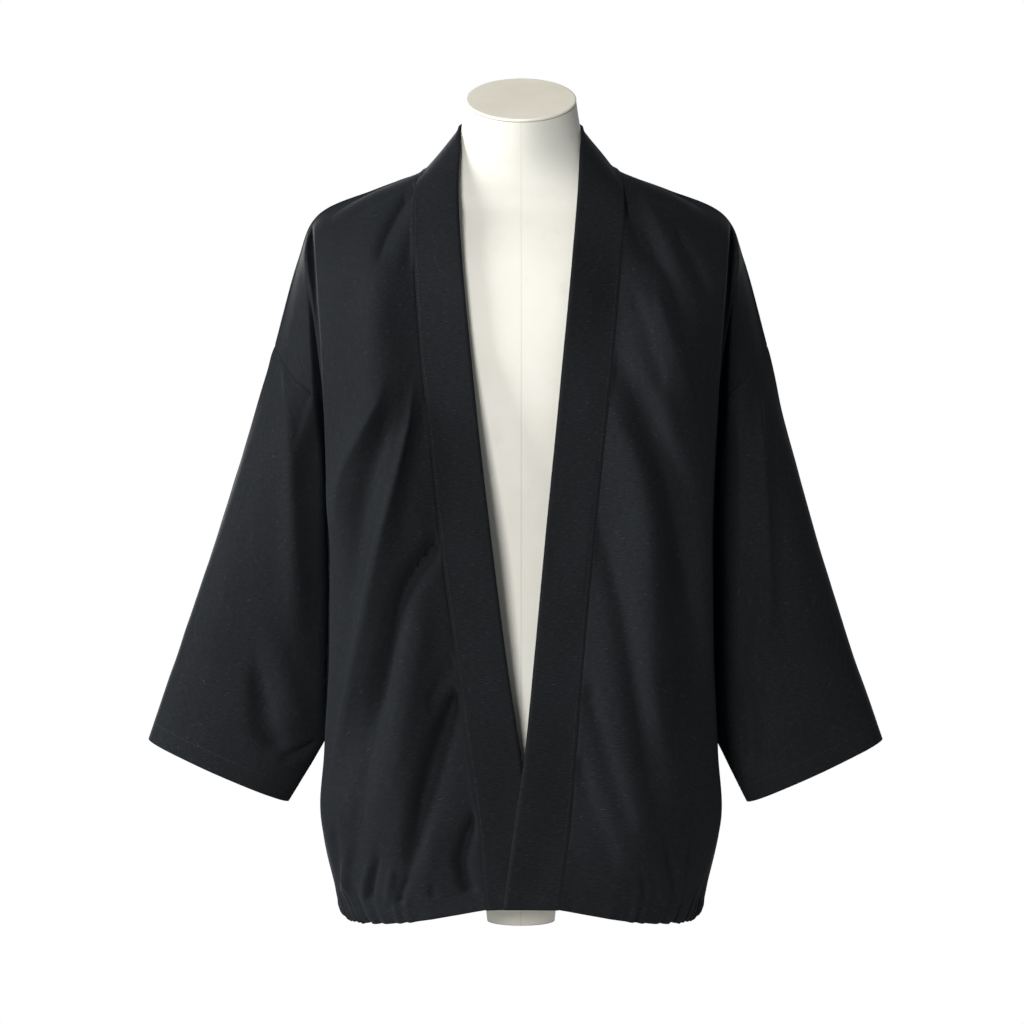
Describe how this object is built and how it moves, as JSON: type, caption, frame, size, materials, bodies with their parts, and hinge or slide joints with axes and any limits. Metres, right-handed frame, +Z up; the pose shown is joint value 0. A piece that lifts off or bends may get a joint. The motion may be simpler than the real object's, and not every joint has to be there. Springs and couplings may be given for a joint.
{
  "type": "kimono jacket on dress form",
  "caption": "Open-front kimono jacket with wide straight sleeves, a plain front band and a gathered hem, resting on a limbless dress form.",
  "frame": {"origin": "centre of the dress form's flat base, on the surface that it stands on", "axes": "+Z up, along the form's height; -Y towards the open front of the jacket; +X towards the wearer's left sleeve"},
  "size_m": [0.7381, 0.2853, 0.8451],
  "materials": {
    "cloth": "plain-woven near-black cloth with fine slubs and a soft sheen",
    "form": "aged cream cloth stretched over the form",
    "cap": "plain greyed cream cloth"
  },
  "bodies": {
    "root": {"back": "cloth", "front_right": "cloth", "front_left": "cloth", "sleeve_right": "cloth", "sleeve_left": "cloth", "band_right": "cloth", "band_left": "cloth", "hem_back": "cloth", "hem_front_right": "cloth", "hem_front_left": "cloth", "form_torso": "form", "form_neck_cap": "cap"}
  },
  "joints": []
}
